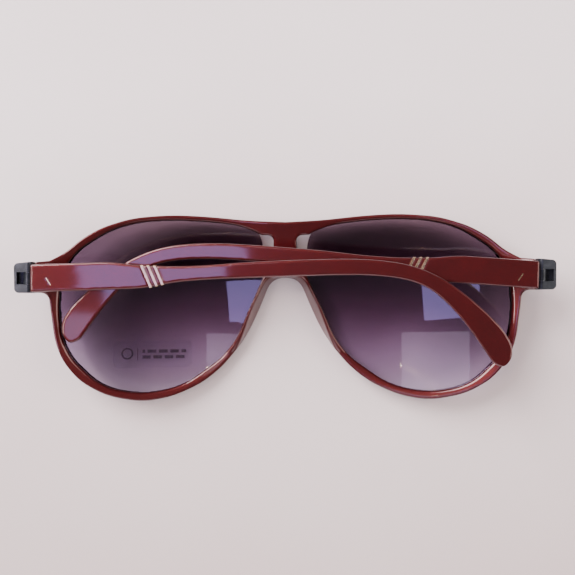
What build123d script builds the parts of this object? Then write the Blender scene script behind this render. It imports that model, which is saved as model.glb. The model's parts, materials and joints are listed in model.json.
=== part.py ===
"""Aviator sunglasses with a thin-rimmed plastic front, lying on their lenses with both temples folded.

Frame of reference, in millimetres: X runs across the front, Y runs from the lower rims up to the brow,
and +Z runs from the surface under the lenses towards the wearer's face. The origin is on that surface,
under the middle of the front.
"""

import os
from math import asin, cos, degrees, radians, sin, tan

from build123d import *

os.makedirs("parts", exist_ok=True)

# ---- front: curvature and depth ----
base_radius = 125.0  # spherical front surface of each half
sphere_x = 20.0  # the middle of each sphere, either side of the centre line
bridge_x = 8.0  # the bridge is blended between the spheres inside this
front_depth = 3.5  # thickness of the front behind its curved face
face_bottom_z = -0.345  # lowest point of the curved face, inside the lens openings: the rims touch Z = 0
end_angle = 27.0  # how far the curved layers reach outwards
half_sweep = 16.0  # and up and down
blank_height = 18.0  # straight blanks that the curved layers are cut from

# ---- end pieces and hinge blocks ----
half_width = 72.0
end_top_y, end_bottom_y = 12.3, 4.5
end_corner = 1.2
block_inner_x = 67.1
block_seat_z = 12.6
stud_x = 69.8
stud_length, stud_width, stud_depth = 2.2, 4.0, 0.9

# ---- lenses ----
lens_thickness = 1.8
lens_set_back = 0.5  # behind the front face of the rim
lens_seat = 0.6  # how far the lens edge sits in the groove
label_size = (21.5, 7.4)
label_centre = (-36.9, -12.8)
label_corner = 1.6
label_film = 0.12

# ---- nose flanges ----
flange_top_z = 6.4

# ---- hinges ----
axis_x, axis_y, axis_z = 68.4, 8.4, 14.6
axis_lean = 1.4  # both axes lean this far from upright, towards +X
axis_back_tilt = 3.0  # and their tops tilt back, so that the open temples stand square to the front
lug_radius = 1.3
block_back = 1.3  # rear face of the block behind the axis, at the axis
block_back_fall = 0.35  # and how much lower it is at its outer edge, for temples that open past square
lug_gap = 3.2  # recess between the lugs
recess_outer = 2.9
recess_depth = 1.5
knuckle_radius = 1.2
knuckle_height = 3.1
screw_radius = 0.6
screw_clearance = 0.03
screw_head_radius, screw_head_height = 0.95, 0.55
screw_reach = 3.25  # shank, either way from the middle
screw_slot = 0.3
hinge_leaf_length, hinge_leaf_thickness = 9.0, 1.0
hinge_leaf_w = 0.45  # middle of the leaf, outwards from the axis

# ---- temples, drawn along u from the hinge axis, v upwards and w outwards ----
temple_start = 1.45  # butt end, from the axis
outer_w = 3.6
temple_slope = 3.0  # temple against its hinge's plane
left_fold, right_fold = 2.85, -0.9  # rest angles behind the front's plane
bow_depth, bow_length = 3.0, 130.0
neck_start, neck_end = 30.0, 38.5
neck_top = (2.52, 1.97)
neck_bottom = (-3.91, -2.43)
neck_thickness = 3.3

temple_outline = [
    (0, 3.65), (23, 3.65), (29.5, 2.55), (39.5, 1.9), (48, 1.9), (58, 2.4), (68, 2.55), (78, 2.55),
    (87, 2.35), (94, 1.7), (100, 0.6), (105, -1.15), (110, -3.8), (115.5, -7.9), (120.5, -12.5),
    (124.9, -17.4), (127.2, -21.6), (127.1, -25.1), (124.9, -27.5), (122.2, -26.4), (119.3, -21.7),
    (115.9, -16.5), (111.6, -11.1), (107, -6.7), (102.3, -4.2), (96, -2.7), (88, -1.95),
    (78, -1.75), (64, -1.72), (48, -1.85), (39.5, -2.25), (31.5, -3.65), (0, -3.65),
]  # fmt: skip
thickness_along = [
    (0, 4.0), (10, 4.0), (20, 3.7), (30, 3.3), (40, 3.3), (60, 3.3), (90, 3.2), (bow_length, 2.8),
]  # fmt: skip

# ---- rings and inlay ----
ring_count = 3
first_ring_u, ring_pitch = 32.3, 1.68
ring_mid_v = -0.65
ring_slant = 21.0
ring_width = 0.6
ring_proud, ring_sunk = 0.12, 0.35
ring_round = 0.3
inlay_centre = (6.3, -0.9)
inlay_length, inlay_width, inlay_depth, inlay_proud = 2.3, 0.26, 0.35, 0.03
inlay_slant = -60.0


def largest_arcs(points, share=0.45):
    """For each corner of a run of points, the largest radius that its two sides have room for."""
    radii = []
    for before, corner, after in zip(points, points[1:], points[2:]):
        back, ahead = Vector(*before) - Vector(*corner), Vector(*after) - Vector(*corner)
        half_turn = radians(180 - back.get_angle(ahead)) / 2
        radii.append(share * min(back.length, ahead.length) / tan(half_turn))
    return radii


def rounded(points):
    """A run of points with every corner rounded by a large arc."""
    return FilletPolyline(*points, radius=largest_arcs(points))


# ---- curved layers that the front and the lenses share ----
blend_angle = degrees(asin((sphere_x - bridge_x) / base_radius))
bridge_radius = bridge_x / sin(radians(blend_angle))
bridge_centre_z = base_radius - (base_radius + bridge_radius) * cos(radians(blend_angle))
curl_axis = Axis((0, 0, base_radius + face_bottom_z), (1, 0, 0))
towards_front = Vector(0, -sin(radians(half_sweep)), -cos(radians(half_sweep)))
sweep_start = Plane(
    origin=Vector(0, 0, base_radius + face_bottom_z) + towards_front * base_radius,
    x_dir=(1, 0, 0),
    z_dir=Vector(1, 0, 0).cross(-towards_front),
)


def line_across(depth):
    """Two side arcs and the bridge arc, across the front at one depth behind its face."""
    side = base_radius - depth
    reach = end_angle + blend_angle
    left = CenterArc((-sphere_x, base_radius), side, 270 - end_angle, reach)
    CenterArc((0, bridge_centre_z), bridge_radius + depth, 90 + blend_angle, -2 * blend_angle)
    right = CenterArc((sphere_x, base_radius), side, 270 - blend_angle, reach)
    return left, right


def curved_layer(near, far):
    """The whole curved layer between two depths behind the front face."""
    with BuildPart() as layer:
        with BuildSketch(sweep_start):
            with BuildLine():
                left_near, right_near = line_across(near)
                left_far, right_far = line_across(far)
                Line(left_near @ 0, left_far @ 0)
                Line(right_near @ 1, right_far @ 1)
            make_face()
        revolve(axis=curl_axis, revolution_arc=2 * half_sweep)
    return layer.part


# ---- outlines of the right half, seen from behind ----
brow = [
    (0, 23.45), (10, 23.9), (20.6, 25.1), (31.4, 25.65), (42.1, 24.7),
    (50.2, 22.0), (55.4, 18.9), (59.4, 15.3), (63.4, 13.1),
]  # fmt: skip
end_piece = [(63.4, 13.1), (half_width, end_top_y), (half_width, end_bottom_y), (63.9, 4.4), (63.6, 1.0)]
rim = [
    (63.6, 1.0), (62.4, -8.6), (60.4, -14.0), (56.0, -19.6), (48.9, -23.8), (39.5, -25.65),
    (31.3, -24.4), (23.2, -20.8), (17.7, -16.5), (12.3, -10.1), (9.4, -5.2), (7.1, -0.15), (4.95, 5.05),
]  # fmt: skip
arch_top = (0, 8.1)
arch_start = (-0.43, 1)
aperture = [
    (8.0, 20.8), (13.0, 22.7), (22.0, 23.8), (31.4, 24.2), (39.5, 23.7), (47.5, 21.6), (56.5, 15.8),
    (60.6, 9.5), (61.5, -0.6), (59.75, -11.7), (50.3, -21.25), (39.4, -23.55), (28.6, -21.5),
    (17.7, -13.8), (13.4, -8.4), (10.6, -1.6), (8.3, 3.4), (6.3, 7.9),
]  # fmt: skip
slot = [(6.3, 7.9), (5.4, 10.6), (3.2, 11.3), (3.2, 19.8), (6.6, 19.95), (8.0, 20.8)]
slot_corners = [1.2, 1.2, 1.5, 1.5]
lens_free_edge = [(5.7, 9.2), (6.0, 13.0), (6.15, 17.0), (6.9, 19.8), (7.7, 21.3)]


def moved_out(points, distance):
    """The same points, each moved square to the line through its neighbours, to the left of travel."""
    out = []
    for i, (x, y) in enumerate(points):
        before, after = points[max(i - 1, 0)], points[min(i + 1, len(points) - 1)]
        along = Vector(after[0] - before[0], after[1] - before[1]).normalized()
        out.append((x - along.Y * distance, y + along.X * distance))
    return out


with BuildSketch() as front_outline:
    with BuildLine():
        rounded(brow)
        FilletPolyline(*end_piece, radius=[end_corner, end_corner, 2.2])
        rounded(rim)
        Spline(rim[-1], arch_top, tangents=[arch_start, (-1, 0)])
        mirror(about=Plane.YZ)
    make_face()

with BuildSketch() as rim_openings:
    with BuildLine():
        rounded(aperture)
        FilletPolyline(*slot, radius=slot_corners)
    make_face()
    mirror(about=Plane.YZ)

# ---- nose opening: its walls lean back and outwards, so the flanges bear on the nose ----
nose_side = [(23.2, -20.8), (17.7, -16.5), (12.3, -10.1), (9.4, -5.2), (7.1, -0.15), (4.95, 5.05), (0, 8.1)]
nose_front_z, nose_rear_z = 0.5, 8.5
nose_front_shift = [0.4, 0.35, 0.3, 0.3, 0.3, 0.3, 0.3]  # inside the wall here
nose_rear_shift = [-0.4, -0.3, 1.3, 2.4, 2.7, 2.6, 2.2]  # and this far outside it there


def nose_points(shifts):
    """The side of the nose opening, each point moved out by its own amount."""
    points = []
    for i, shift in enumerate(shifts):
        points.append(moved_out(nose_side, -shift)[i])
    points[-1] = (0, points[-1][1])
    return points


with BuildPart() as nose_cut:
    for height, shifts in (
        (nose_front_z, [-s for s in nose_front_shift]),
        (nose_rear_z, nose_rear_shift),
    ):
        side = nose_points(shifts)
        with BuildSketch(Plane.XY.offset(height)):
            with BuildLine():
                Spline(*side, tangents=[(-5.5, 4.3), (-1, 0)])
                Line(side[0], (side[0][0], -32))
                Line((side[0][0], -32), (0, -32))
                mirror(about=Plane.YZ)
            make_face()
    loft(ruled=True)

# ---- front frame ----
with BuildPart() as flange_profile:
    with BuildSketch(Plane.YZ.offset(-blank_height)):
        with BuildLine():
            Spline((10.6, 4.2), (7.5, 5.3), (1.5, flange_top_z), (-6.0, 5.6), (-13.5, 3.6))
            Polyline((-13.5, 3.6), (-13.5, 2.0), (10.6, 2.0), (10.6, 4.2))
        make_face()
    extrude(amount=2 * blank_height)

with BuildPart() as flanges:
    add(front_outline)
    extrude(amount=blank_height)
    add(rim_openings)
    extrude(amount=blank_height, mode=Mode.SUBTRACT)
    add(flange_profile.part, mode=Mode.INTERSECT)
    add(nose_cut.part, mode=Mode.SUBTRACT)


with BuildPart() as block_seats:
    for side in (-1, 1):
        with Locations((side * (block_inner_x + 5), axis_y, block_seat_z)):
            Box(10, 14, 10, align=(Align.CENTER, Align.CENTER, Align.MIN))
        with Locations((side * stud_x, axis_y, block_seat_z)):
            Box(stud_length, stud_width, 2 * stud_depth)

with BuildPart() as front_frame:
    add(front_outline)
    extrude(amount=blank_height)
    add(rim_openings)
    extrude(amount=blank_height, mode=Mode.SUBTRACT)
    add(curved_layer(0, front_depth), mode=Mode.INTERSECT)
    add(nose_cut.part, mode=Mode.SUBTRACT)
    add(flanges.part)
    add(block_seats.part, mode=Mode.SUBTRACT)

# ---- lenses ----
lens_outline_points = moved_out(aperture, lens_seat)[1:-1]
lenses = {}
for side, side_name in ((-1, "left"), (1, "right")):
    with BuildPart() as lens:
        with BuildSketch() as lens_plan:
            with BuildLine():
                groove_side = Spline(*lens_outline_points)
                Spline(groove_side @ 1, *lens_free_edge, groove_side @ 0)
            make_face()
            if side < 0:
                mirror(about=Plane.YZ, mode=Mode.REPLACE)
        extrude(amount=blank_height)
        add(curved_layer(lens_set_back, lens_set_back + lens_thickness), mode=Mode.INTERSECT)
    lenses[side] = lens.part
    lens.part.label = f"{side_name}_lens"

with BuildPart() as lens_label:
    with BuildSketch():
        with Locations(label_centre):
            RectangleRounded(*label_size, label_corner)
    extrude(amount=blank_height)
    add(curved_layer(lens_set_back - label_film, lens_set_back), mode=Mode.INTERSECT)
lens_label.part.label = "lens_label"
export_step(lens_label.part, "parts/lens_label.step")

for side, side_name in ((-1, "left"), (1, "right")):
    export_step(lenses[side], f"parts/{side_name}_lens.step")
front_frame_part = front_frame.part
for side in (-1, 1):
    front_frame_part = front_frame_part - lenses[side]
front_frame_part.label = "front_frame"
export_step(front_frame_part, "parts/front_frame.step")

# ---- hinge directions, the same on both sides apart from which way is inwards ----
lean, back_tilt = radians(axis_lean), radians(axis_back_tilt)
axis_up = Vector(sin(lean) * cos(back_tilt), cos(lean) * cos(back_tilt), sin(back_tilt))
back = Vector(-sin(lean) * sin(back_tilt), -cos(lean) * sin(back_tilt), cos(back_tilt))


class Hinge:
    """One side's hinge: its planes, and those of its temple at the rest angle."""

    def __init__(self, side, fold):
        inwards = Vector(-side * cos(lean), side * sin(lean), 0)
        folded = radians(fold)
        slope = radians(temple_slope)
        self.origin = Vector(side * axis_x, axis_y, axis_z)
        self.side = side
        along = inwards * cos(folded) + back * sin(folded)
        outwards = back * cos(folded) - inwards * sin(folded)
        u = along * cos(slope) + axis_up * sin(slope)
        v = axis_up * cos(slope) - along * sin(slope)
        self.outwards = outwards
        # the block's section, and along the axis from its middle
        self.section = Plane(self.origin, x_dir=inwards, z_dir=axis_up * side)
        self.round = Plane(self.origin, x_dir=inwards, z_dir=axis_up)
        # the moving leaf's section, and the temple's face and its edge-on profile
        self.leaf = Plane(self.origin, x_dir=along, z_dir=axis_up * side)
        self.face = Plane(self.origin, x_dir=u, z_dir=outwards * -side)
        self.edge = Plane(self.origin, x_dir=u, z_dir=v * side)


def hinge_block(hinge):
    """The fixed block: two lugs with a recess between them, on a stud in the end piece."""
    with BuildPart() as block:
        with BuildSketch(Plane.XY.offset(block_seat_z)):
            add(front_outline)
            with Locations((hinge.side * (block_inner_x + 5), axis_y)):
                Rectangle(10, 14, mode=Mode.INTERSECT)
        extrude(amount=6)
        with BuildSketch(hinge.section):
            with BuildLine():
                Polyline(
                    (0, block_back), (axis_x - half_width, block_back - block_back_fall),
                    (-8, block_back - 2 * block_back_fall), (-8, -6), (lug_radius, -6), (lug_radius, 0),
                )  # fmt: skip
                RadiusArc((lug_radius, 0), (0, block_back), -lug_radius)
            make_face()
        extrude(amount=10, both=True, mode=Mode.INTERSECT)
        with BuildSketch(hinge.section):
            with Locations(((lug_radius + 1 - recess_outer) / 2, (4 - recess_depth) / 2)):
                Rectangle(lug_radius + 1 + recess_outer, 4 + recess_depth)
        extrude(amount=lug_gap / 2, both=True, mode=Mode.SUBTRACT)
        with Locations((hinge.side * stud_x, axis_y, block_seat_z)):
            Box(stud_length, stud_width, stud_depth, align=(Align.CENTER, Align.CENTER, Align.MAX))
    return block.part


def hinge_screw(hinge):
    """The pivot screw, its head let into the upper lug."""
    with BuildPart() as screw:
        with BuildSketch(hinge.round.offset(-screw_reach)):
            Circle(screw_radius)
        extrude(amount=2 * screw_reach)
        with BuildSketch(hinge.round.offset(screw_reach)):
            Circle(screw_head_radius)
        extrude(amount=screw_head_height)
        with BuildSketch(hinge.round.offset(screw_reach + screw_head_height)):
            Rectangle(2 * screw_head_radius, screw_slot)
        extrude(amount=-screw_slot, mode=Mode.SUBTRACT)
    return screw.part


def temple_hinge(hinge):
    """The moving knuckle with the leaf that is moulded into the temple's root."""
    with BuildPart() as knuckle:
        with BuildSketch(hinge.leaf):
            Circle(knuckle_radius)
            with Locations((hinge_leaf_length / 2, hinge_leaf_w)):
                Rectangle(hinge_leaf_length, hinge_leaf_thickness)
            Circle(screw_radius + screw_clearance, mode=Mode.SUBTRACT)
        extrude(amount=knuckle_height / 2, both=True)
    return knuckle.part


def outer_face(u):
    """The temple's outer face, bowed towards the head."""
    return outer_w - bow_depth * (u / bow_length) ** 2


def ring_slab(hinge, k, width, reach=12):
    """A slanted slab across the temple at ring k."""
    with BuildPart() as slab:
        with BuildSketch(hinge.face):
            with Locations((first_ring_u + k * ring_pitch, ring_mid_v)):
                Rectangle(width, 2 * reach, rotation=ring_slant)
        extrude(amount=reach, both=True)
    return slab.part


def neck(hinge, grow):
    """The temple's neck as a plain prism, grown or shrunk on every side."""
    inner = [(u, outer_face(u) - neck_thickness - grow) for u in (neck_start, neck_end)]
    outer = [(u, outer_face(u) + grow) for u in (neck_end, neck_start)]
    with BuildPart() as prism:
        with BuildSketch(hinge.face):
            Polygon(
                (neck_start, neck_bottom[0] - grow), (neck_end, neck_bottom[1] - grow),
                (neck_end, neck_top[1] + grow), (neck_start, neck_top[0] + grow),
                align=None,
            )  # fmt: skip
        extrude(amount=10, both=True)
        with BuildSketch(hinge.edge):
            Polygon(*inner, *outer, align=None)
        extrude(amount=10, both=True, mode=Mode.INTERSECT)
        if grow > 0:
            fillet(prism.edges().filter_by(lambda e: e.length > 8), radius=ring_round)
    return prism.part


def temple(hinge):
    """The temple: broad root, ringed neck, slim shaft and a paddle tip that bends down."""
    with BuildPart() as blade:
        with BuildSketch(hinge.face):
            with BuildLine():
                rounded(temple_outline)
                Line(temple_outline[-1], temple_outline[0])
            make_face()
        extrude(amount=12, both=True)
        with BuildSketch(hinge.edge):
            with BuildLine():
                inner = Spline(*[(u, outer_face(u) - t) for u, t in thickness_along])
                outer = ThreePointArc(*[(u, outer_face(u)) for u in (bow_length, bow_length / 2, 0)])
                Line(inner @ 1, outer @ 0)
                Line(outer @ 1, inner @ 0)
            make_face()
        extrude(amount=40, both=True, mode=Mode.INTERSECT)
        with BuildSketch(hinge.leaf):
            with Locations((temple_start - 5, 0)):
                Rectangle(10, 16)
        extrude(amount=8, both=True, mode=Mode.SUBTRACT)
        add(temple_hinge(hinge), mode=Mode.SUBTRACT)
        for k in range(ring_count):
            add(ring_slab(hinge, k, ring_width) - neck(hinge, -ring_sunk), mode=Mode.SUBTRACT)
        add(inlay(hinge), mode=Mode.SUBTRACT)
    return blade.part


def ring(hinge, k):
    """A metal band round the neck, standing a little proud of it."""
    with BuildPart() as band:
        add(neck(hinge, ring_proud))
        add(ring_slab(hinge, k, ring_width), mode=Mode.INTERSECT)
        add(neck(hinge, -ring_sunk), mode=Mode.SUBTRACT)
    return band.part


def inlay(hinge):
    """The small slanted metal mark let into the temple's root."""
    depth = outer_face(inlay_centre[0]) - inlay_depth
    with BuildPart() as mark:
        with BuildSketch(hinge.face.offset(-hinge.side * depth)):
            with Locations(inlay_centre):
                SlotOverall(inlay_length, inlay_width, rotation=inlay_slant)
        extrude(amount=-hinge.side * (inlay_depth + inlay_proud))
    return mark.part


for side, side_name, fold in ((-1, "left", left_fold), (1, "right", right_fold)):
    hinge = Hinge(side, fold)
    pieces = {
        "temple": temple(hinge),
        "hinge_block": hinge_block(hinge) - hinge_screw(hinge),
        "temple_hinge": temple_hinge(hinge),
        "hinge_screw": hinge_screw(hinge),
        "temple_inlay": inlay(hinge),
    }
    for k in range(ring_count):
        pieces[f"ring_{k + 1}"] = ring(hinge, k)
    for piece_name, piece in pieces.items():
        piece.label = f"{side_name}_{piece_name}"
        export_step(piece, f"parts/{side_name}_{piece_name}.step")
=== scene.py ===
"""Red aviator sunglasses with graduated lenses, folded and lying on their lenses, seen from straight above.

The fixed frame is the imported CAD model, in metres: X across the front, Y from the rims up to the brow, and
Z from the table towards the wearer's face. The front and the two temples get rounded skins here; lenses,
rings, hinges, screws, inlays and the label keep their CAD shapes and get their finishes.
"""

import json
import math

import bmesh
import bpy
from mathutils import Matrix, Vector

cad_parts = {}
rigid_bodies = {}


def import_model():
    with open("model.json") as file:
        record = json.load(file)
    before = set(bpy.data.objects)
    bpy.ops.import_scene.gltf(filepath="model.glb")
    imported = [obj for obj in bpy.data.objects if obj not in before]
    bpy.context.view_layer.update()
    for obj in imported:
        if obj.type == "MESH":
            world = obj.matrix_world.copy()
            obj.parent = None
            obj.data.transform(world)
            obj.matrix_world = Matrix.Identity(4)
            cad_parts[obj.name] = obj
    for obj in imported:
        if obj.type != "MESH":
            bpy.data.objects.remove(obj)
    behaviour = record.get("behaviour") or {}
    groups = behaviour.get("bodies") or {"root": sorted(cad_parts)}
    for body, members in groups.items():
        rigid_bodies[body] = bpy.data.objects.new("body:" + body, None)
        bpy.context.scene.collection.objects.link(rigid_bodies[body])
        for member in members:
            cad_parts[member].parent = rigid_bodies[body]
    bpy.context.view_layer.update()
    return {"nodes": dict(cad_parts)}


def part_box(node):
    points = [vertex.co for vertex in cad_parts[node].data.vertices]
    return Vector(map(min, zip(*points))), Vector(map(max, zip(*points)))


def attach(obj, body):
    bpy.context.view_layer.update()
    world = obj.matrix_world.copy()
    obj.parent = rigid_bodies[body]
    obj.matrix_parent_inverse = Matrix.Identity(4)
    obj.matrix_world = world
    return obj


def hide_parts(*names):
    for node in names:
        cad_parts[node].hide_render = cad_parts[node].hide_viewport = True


# ---- viewpoint ----
CAMERA_PLACE = (0.0006, 0.00546, 0.300)
CAMERA_ROLL = -0.37  # degrees
CAMERA_LENS = 67.1  # on the default 36 mm sensor

# ---- rounding of the moulded pieces ----
FRONT_EDGE, TEMPLE_EDGE = 0.00055, 0.00040  # radius along the edges
INLAY_CLEARANCE = 0.0017  # edges this near an inlay stay crisp
EDGE_ANGLE = 38.0  # degrees; sharper edges than this are rounded
FLAT_ANGLE = 0.1  # degrees; faces this near to one plane are joined first
WELD = 1e-6
EDGE_STEPS = 3
VOXEL = 0.00020
POLISH = 6  # rounds of smoothing

# ---- tint of the lenses, and painted shade at their outer sides ----
TINT_BOTTOM, TINT_TOP = -0.024, 0.024  # heights between which it fades
OUTER_SHADE_START, OUTER_SHADE_FULL = 0.036, 0.060  # distances from the middle between which painted shade darkens the lens
TINT_UNEVEN = 0.0008  # how far the fade wavers

# ---- printed marks on the label film: shift from its middle, and half width ----
MARKS_REACH = 0.0016  # half height of the bars and of the line
BARS_SHIFT, BARS_REACH = 0.0031, 0.0060
LINE_SHIFT, LINE_REACH = -0.0042, 0.00010
CIRCLE_SHIFT = (-0.0070, 0.0002)
CIRCLE_RADIUS, CIRCLE_REACH = 0.0014, 0.00022
BAR_LENGTH, BAR_ROW, BAR_GAP = 3.1, 1.6, 0.38  # millimetres
MILLIMETRES = 1000.0

# ---- light ----
ROOM = (0.17, 0.165, 0.175)
ROOM_STRENGTH = 1.0
SOFTBOXES = {
    # name: place, size across and along, watts, colour
    "key_light": ((-0.95, 0.85, 1.0), (1.2, 1.2), 80.0, (1.0, 0.945, 0.95)),
    "fill_light": ((1.15, 0.1, 0.9), (1.1, 1.1), 17.0, (1.0, 0.91, 0.82)),
    "front_light": ((-0.2, -1.2, 0.9), (1.2, 0.9), 10.0, (0.93, 0.94, 1.0)),
}
WINDOW_HEIGHT = 1.1
WINDOW_PANES = {
    # name: centre in the window's plane, size, turn in degrees, watts, colour
    "upper_pane": ((-0.262, -0.050), (0.225, 0.150), 4.0, 0.70, (0.50, 0.42, 1.0)),
    "side_pane": ((-0.415, -0.165), (0.070, 0.060), 0.0, 0.06, (0.60, 0.52, 1.0)),
    "left_glow": ((-0.740, -0.080), (0.260, 0.400), 0.0, 5.5, (1.0, 0.86, 0.84)),
    "lower_pane": ((-0.200, 0.183), (0.260, 0.216), 0.0, 0.36, (0.90, 0.80, 1.0)),
    "lower_sky": ((-0.303, 0.200), (0.055, 0.080), 0.0, 0.12, (0.60, 0.75, 1.0)),
    "sill": ((-0.137, 0.241), (0.165, 0.020), -37.0, 1.1, (1.0, 0.74, 0.46)),
    "rail": ((-0.140, 0.128), (0.132, 0.009), 8.0, 0.16, (1.0, 0.80, 0.66)),
}

# ---- table and camera ----
TABLE_SIZE = 6
TABLE_DARK_Y, TABLE_PALE_Y = -0.09, 0.06  # painted shade on the table runs between these
CLIP_START = 0.01

for leftover in list(bpy.data.objects):
    bpy.data.objects.remove(leftover)

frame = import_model()
nodes = frame["nodes"]


def middle_of(node_name):
    low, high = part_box(node_name)
    return (Vector(low) + Vector(high)) / 2


# ---- materials ----
class Finish:
    """A new node material, with short ways to add and join its nodes."""

    def __init__(self, name):
        self.material = bpy.data.materials.new(name)
        self.material.use_nodes = True
        self.nodes = self.material.node_tree.nodes
        self.links = self.material.node_tree.links
        self.surface = self.nodes["Principled BSDF"]
        self.place = self.node("ShaderNodeTexCoord").outputs["Object"]

    def node(self, kind, **inputs):
        made = self.nodes.new(kind)
        for name, value in inputs.items():
            self.feed(made.inputs[name.replace("_", " ")], value)
        return made

    def feed(self, socket, value):
        if isinstance(value, bpy.types.NodeSocket):
            self.links.new(value, socket)
        else:
            socket.default_value = value

    def set(self, **inputs):
        for name, value in inputs.items():
            self.feed(self.surface.inputs[name.replace("_", " ")], value)

    def noise(self, scale, detail=2.0, stretch=(1, 1, 1)):
        mapped = self.node("ShaderNodeMapping", Vector=self.place, Scale=stretch)
        found = self.node(
            "ShaderNodeTexNoise", Vector=mapped.outputs["Vector"], Scale=scale, Detail=detail
        )
        return found.outputs["Fac"]

    def ramp(self, factor, stops):
        made = self.node("ShaderNodeValToRGB", Fac=factor)
        elements = made.color_ramp.elements
        while len(elements) < len(stops):
            elements.new(0.5)
        for element, (position, colour) in zip(elements, stops):
            element.position = position
            element.color = (*colour, 1.0)
        return made.outputs["Color"]

    def maths(self, operation, *values):
        made = self.node("ShaderNodeMath")
        made.operation = operation
        for socket, value in zip(made.inputs, values):
            self.feed(socket, value)
        return made.outputs[0]

    def times(self, first, second):
        """Two colours multiplied; sockets 6 and 7 are the node's two colours."""
        made = self.node("ShaderNodeMix")
        made.data_type = "RGBA"
        made.blend_type = "MULTIPLY"
        made.inputs["Factor"].default_value = 1.0
        self.feed(made.inputs[6], first)
        self.feed(made.inputs[7], second)
        return made.outputs[2]

    def between(self, factor, low, high, start=0.3, stop=0.7):
        made = self.node("ShaderNodeMapRange", Value=factor)
        made.inputs["From Min"].default_value = start
        made.inputs["From Max"].default_value = stop
        made.inputs["To Min"].default_value = low
        made.inputs["To Max"].default_value = high
        return made.outputs["Result"]

    def bump(self, height, strength, distance):
        made = self.node("ShaderNodeBump", Height=height, Strength=strength, Distance=distance)
        return made.outputs["Normal"]


def candy_red(name, deep, bright):
    """Metallic flake under clear lacquer."""
    finish = Finish(name)
    flake = finish.noise(9000.0, 1.0)
    cloud = finish.noise(140.0, 3.0)
    flecks = finish.ramp(flake, [(0.36, deep), (0.66, bright)])
    mottled = finish.ramp(cloud, [(0.3, (0.82, 0.82, 0.82)), (0.7, (1.0, 1.0, 1.0))])
    finish.set(
        Base_Color=finish.times(flecks, mottled),
        Metallic=0.72,
        Roughness=finish.between(flake, 0.30, 0.44),
        Coat_Weight=0.85,
        Coat_Roughness=0.05,
        Coat_IOR=1.55,
        Normal=finish.bump(flake, 0.18, 0.00004),
    )
    return finish.material


def metal(name, dark, light, roughness, metallic=1.0):
    """Plated or blackened metal with fine rubbing."""
    finish = Finish(name)
    rubbing = finish.noise(1400.0, 4.0, (1.0, 6.0, 1.0))
    wear = finish.noise(420.0, 5.0)
    finish.set(
        Base_Color=finish.ramp(wear, [(0.3, dark), (0.72, light)]),
        Metallic=metallic,
        Roughness=finish.between(rubbing, roughness * 0.75, roughness * 1.3),
        Normal=finish.bump(rubbing, 0.12, 0.00003),
    )
    return finish.material


def see_through(finish, tint, gloss=0.02, index=1.52):
    """Clear, tinted material: what is behind shows through it, and its surface mirrors the lights."""
    clear = finish.node("ShaderNodeBsdfTransparent", Color=tint)
    mirror = finish.node("ShaderNodeBsdfGlossy", Roughness=gloss)
    edge_on = finish.node("ShaderNodeFresnel", IOR=index)
    mixed = finish.node("ShaderNodeMixShader", Fac=edge_on.outputs["Fac"])
    finish.links.new(clear.outputs["BSDF"], mixed.inputs[1])
    finish.links.new(mirror.outputs["BSDF"], mixed.inputs[2])
    finish.links.new(mixed.outputs["Shader"], finish.nodes["Material Output"].inputs["Surface"])


def lens_tint_and_painted_shade(name):
    """Dark violet at the brow, fading to pale lilac below, and darker at the outer side, which is painted
    shade.
    """
    finish = Finish(name)
    across, height, _ = finish.node("ShaderNodeSeparateXYZ", Vector=finish.place).outputs
    outer = finish.maths("ABSOLUTE", across)
    outer_shade = finish.between(outer, 0.0, 1.0, OUTER_SHADE_START, OUTER_SHADE_FULL)
    cloud = finish.between(finish.noise(60.0, 2.0), -TINT_UNEVEN, TINT_UNEVEN)
    uneven = finish.maths("ADD", height, cloud)
    up = finish.between(uneven, 0.0, 1.0, TINT_BOTTOM, TINT_TOP)
    tint = finish.ramp(
        up,
        [
            (0.0, (0.86, 0.82, 0.90)),
            (0.22, (0.77, 0.71, 0.81)),
            (0.50, (0.57, 0.47, 0.575)),
            (0.75, (0.44, 0.355, 0.43)),
            (1.0, (0.41, 0.33, 0.38)),
        ],
    )
    # painted shade: the see-through tint darkens towards the outer sides, standing in for dimmer light seen
    # through the lens edges
    painted_outer_shade = finish.ramp(outer_shade, [(0.0, (1.0, 1.0, 1.0)), (1.0, (0.76, 0.74, 0.79))])
    see_through(finish, finish.times(tint, painted_outer_shade))
    return finish.material


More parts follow.
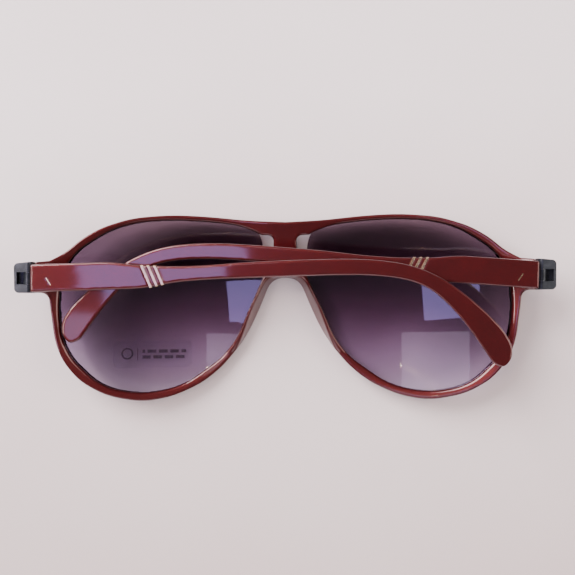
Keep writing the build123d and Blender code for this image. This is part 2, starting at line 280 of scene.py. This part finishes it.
def film_with_marks(name, middle):
    """Clear film with plain printed marks: two rows of bars, an upright line and a circle."""
    finish = Finish(name)
    x, y, _ = finish.node("ShaderNodeSeparateXYZ", Vector=finish.place).outputs
    flat = finish.node("ShaderNodeCombineXYZ", X=x, Y=y).outputs["Vector"]
    bars = finish.node("ShaderNodeTexBrick", Vector=flat, Scale=MILLIMETRES)
    bars.inputs["Color1"].default_value = (1, 1, 1, 1)
    bars.inputs["Color2"].default_value = (1, 1, 1, 1)
    bars.inputs["Mortar"].default_value = (0, 0, 0, 1)
    bars.inputs["Mortar Size"].default_value = BAR_GAP
    bars.inputs["Brick Width"].default_value = BAR_LENGTH
    bars.inputs["Row Height"].default_value = BAR_ROW
    from_circle = finish.node("ShaderNodeVectorMath", Vector=flat)
    from_circle.operation = "DISTANCE"
    from_circle.inputs[1].default_value = (middle.x + CIRCLE_SHIFT[0], middle.y + CIRCLE_SHIFT[1], 0)

    tall = finish.maths("COMPARE", y, middle.y, MARKS_REACH)
    near_bars = finish.maths("COMPARE", x, middle.x + BARS_SHIFT, BARS_REACH)
    rows = finish.maths("MULTIPLY", bars.outputs["Color"], finish.maths("MULTIPLY", near_bars, tall))
    near_line = finish.maths("COMPARE", x, middle.x + LINE_SHIFT, LINE_REACH)
    line = finish.maths("MULTIPLY", near_line, tall)
    circle = finish.maths("COMPARE", from_circle.outputs["Value"], CIRCLE_RADIUS, CIRCLE_REACH)
    marks = finish.maths("MAXIMUM", finish.maths("MAXIMUM", rows, line), circle)
    print_on_film = finish.ramp(marks, [(0.0, (0.992, 0.992, 1.0)), (1.0, (0.66, 0.64, 0.66))])
    see_through(finish, print_on_film, gloss=0.08, index=1.06)
    return finish.material


def cloth(name):
    """The pale plain surface under the glasses, with painted shade darkening it towards the bottom."""
    finish = Finish(name)
    weave = finish.noise(2600.0, 2.0)
    folds = finish.noise(9.0, 3.0)
    along = finish.node("ShaderNodeSeparateXYZ", Vector=finish.place).outputs["Y"]
    # painted shade: the table darkens towards the bottom, standing in for light falling off
    shade = finish.between(along, 0.0, 1.0, TABLE_DARK_Y, TABLE_PALE_Y)
    painted_shade_tone = finish.ramp(shade, [(0.0, (0.68, 0.625, 0.60)), (1.0, (1.0, 1.0, 1.0))])
    tint = finish.ramp(folds, [(0.35, (0.82, 0.715, 0.735)), (0.65, (0.86, 0.765, 0.785))])
    finish.set(
        Base_Color=finish.times(tint, painted_shade_tone),
        Roughness=0.9,
        Specular_IOR_Level=0.15,
        Normal=finish.bump(weave, 0.25, 0.0002),
    )
    return finish.material


materials = {
    "front_plastic": candy_red("front_red", (0.045, 0.0003, 0.0012), (0.105, 0.0010, 0.0028)),
    "temple_plastic": candy_red("temple_red", (0.044, 0.0003, 0.0011), (0.102, 0.0009, 0.0025)),
    "lens": lens_tint_and_painted_shade("lens_tint_and_painted_shade"),
    "label_film": film_with_marks("label_film_clear", middle_of("lens_label")),
    "hinge_black": metal("hinge_black_satin", (0.013, 0.015, 0.020), (0.044, 0.048, 0.060), 0.34, 0.6),
    "screw_steel": metal("screw_steel_satin", (0.32, 0.32, 0.34), (0.58, 0.58, 0.60), 0.30),
    "ring_gold": metal("ring_gold_polished", (0.60, 0.42, 0.27), (0.78, 0.59, 0.41), 0.24),
}
for node in nodes.values():
    for seat in node.material_slots:
        seat.material = materials[seat.material.name.split(".")[0]]


# ---- moulded skins over the CAD solids ----
def rounded_skin(node_name, body, slot, edge, crisp_at=None):
    """A skin on one CAD node with its sharp edges rounded, except near the point crisp_at."""
    work = bmesh.new()
    work.from_mesh(nodes[node_name].data)
    bmesh.ops.remove_doubles(work, verts=work.verts, dist=WELD)
    bmesh.ops.dissolve_limit(
        work, angle_limit=math.radians(FLAT_ANGLE), verts=work.verts, edges=work.edges
    )
    weight = work.edges.layers.float.new("bevel_weight_edge")
    for line in work.edges:
        middle = (line.verts[0].co + line.verts[1].co) / 2
        near_inlay = crisp_at is not None and (middle - crisp_at).length < INLAY_CLEARANCE
        if line.calc_face_angle(0) > math.radians(EDGE_ANGLE) and not near_inlay:
            line[weight] = 1.0
    solid = bpy.data.meshes.new(f"{node_name}_solid")
    work.to_mesh(solid)
    work.free()
    skin = bpy.data.objects.new(f"{node_name}_skin", solid)
    bpy.context.scene.collection.objects.link(skin)
    bevel = skin.modifiers.new("bevel", "BEVEL")
    bevel.width = edge
    bevel.segments = EDGE_STEPS
    bevel.limit_method = "WEIGHT"
    bevel.use_clamp_overlap = False
    remesh = skin.modifiers.new("remesh", "REMESH")
    remesh.mode = "VOXEL"
    remesh.voxel_size = VOXEL
    smooth = skin.modifiers.new("smooth", "SMOOTH")
    smooth.iterations = POLISH
    seen = skin.evaluated_get(bpy.context.evaluated_depsgraph_get())
    finished = bpy.data.meshes.new_from_object(seen)
    skin.modifiers.clear()
    skin.data = finished
    finished.shade_smooth()
    finished.materials.clear()
    finished.materials.append(materials[slot])
    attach(skin, body)
    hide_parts(node_name)


rounded_skin("front_frame", "front", "front_plastic", FRONT_EDGE)
for side in ("left", "right"):
    inlay = middle_of(f"{side}_temple_inlay")
    rounded_skin(f"{side}_temple", f"{side}_temple", "temple_plastic", TEMPLE_EDGE, inlay)

# ---- table, lights and camera ----
bpy.ops.mesh.primitive_plane_add(size=TABLE_SIZE)
table = bpy.context.object
table.name = "table"
table.data.materials.append(cloth("table_cloth"))


def lamp(name, place, size, watts, colour, turn=0.0, aim=(0, 0, 0)):
    """A rectangular light that faces a point."""
    data = bpy.data.lights.new(name, "AREA")
    data.shape = "RECTANGLE"
    data.size, data.size_y = size
    data.energy = watts
    data.color = colour
    made = bpy.data.objects.new(name, data)
    made.location = place
    away = Vector(place) - Vector(aim)
    made.rotation_euler = away.to_track_quat("Z", "Y").to_euler()
    made.rotation_euler.rotate_axis("Z", math.radians(turn))
    bpy.context.scene.collection.objects.link(made)


for name, (place, size, watts, colour) in SOFTBOXES.items():
    lamp(name, place, size, watts, colour)
for name, ((x, y), size, turn, watts, colour) in WINDOW_PANES.items():
    lamp(name, (x, y, WINDOW_HEIGHT), size, watts, colour, turn, aim=(x, y, 0))

world = bpy.data.worlds.new("room")
world.use_nodes = True
world.node_tree.nodes["Background"].inputs["Color"].default_value = (*ROOM, 1)
world.node_tree.nodes["Background"].inputs["Strength"].default_value = ROOM_STRENGTH
bpy.context.scene.world = world

camera_data = bpy.data.cameras.new("camera")
camera_data.lens = CAMERA_LENS
camera_data.clip_start = CLIP_START
camera = bpy.data.objects.new("camera", camera_data)
camera.location = CAMERA_PLACE
camera.rotation_euler = (0, 0, math.radians(CAMERA_ROLL))
bpy.context.scene.collection.objects.link(camera)
bpy.context.scene.camera = camera

bpy.context.view_layer.update()
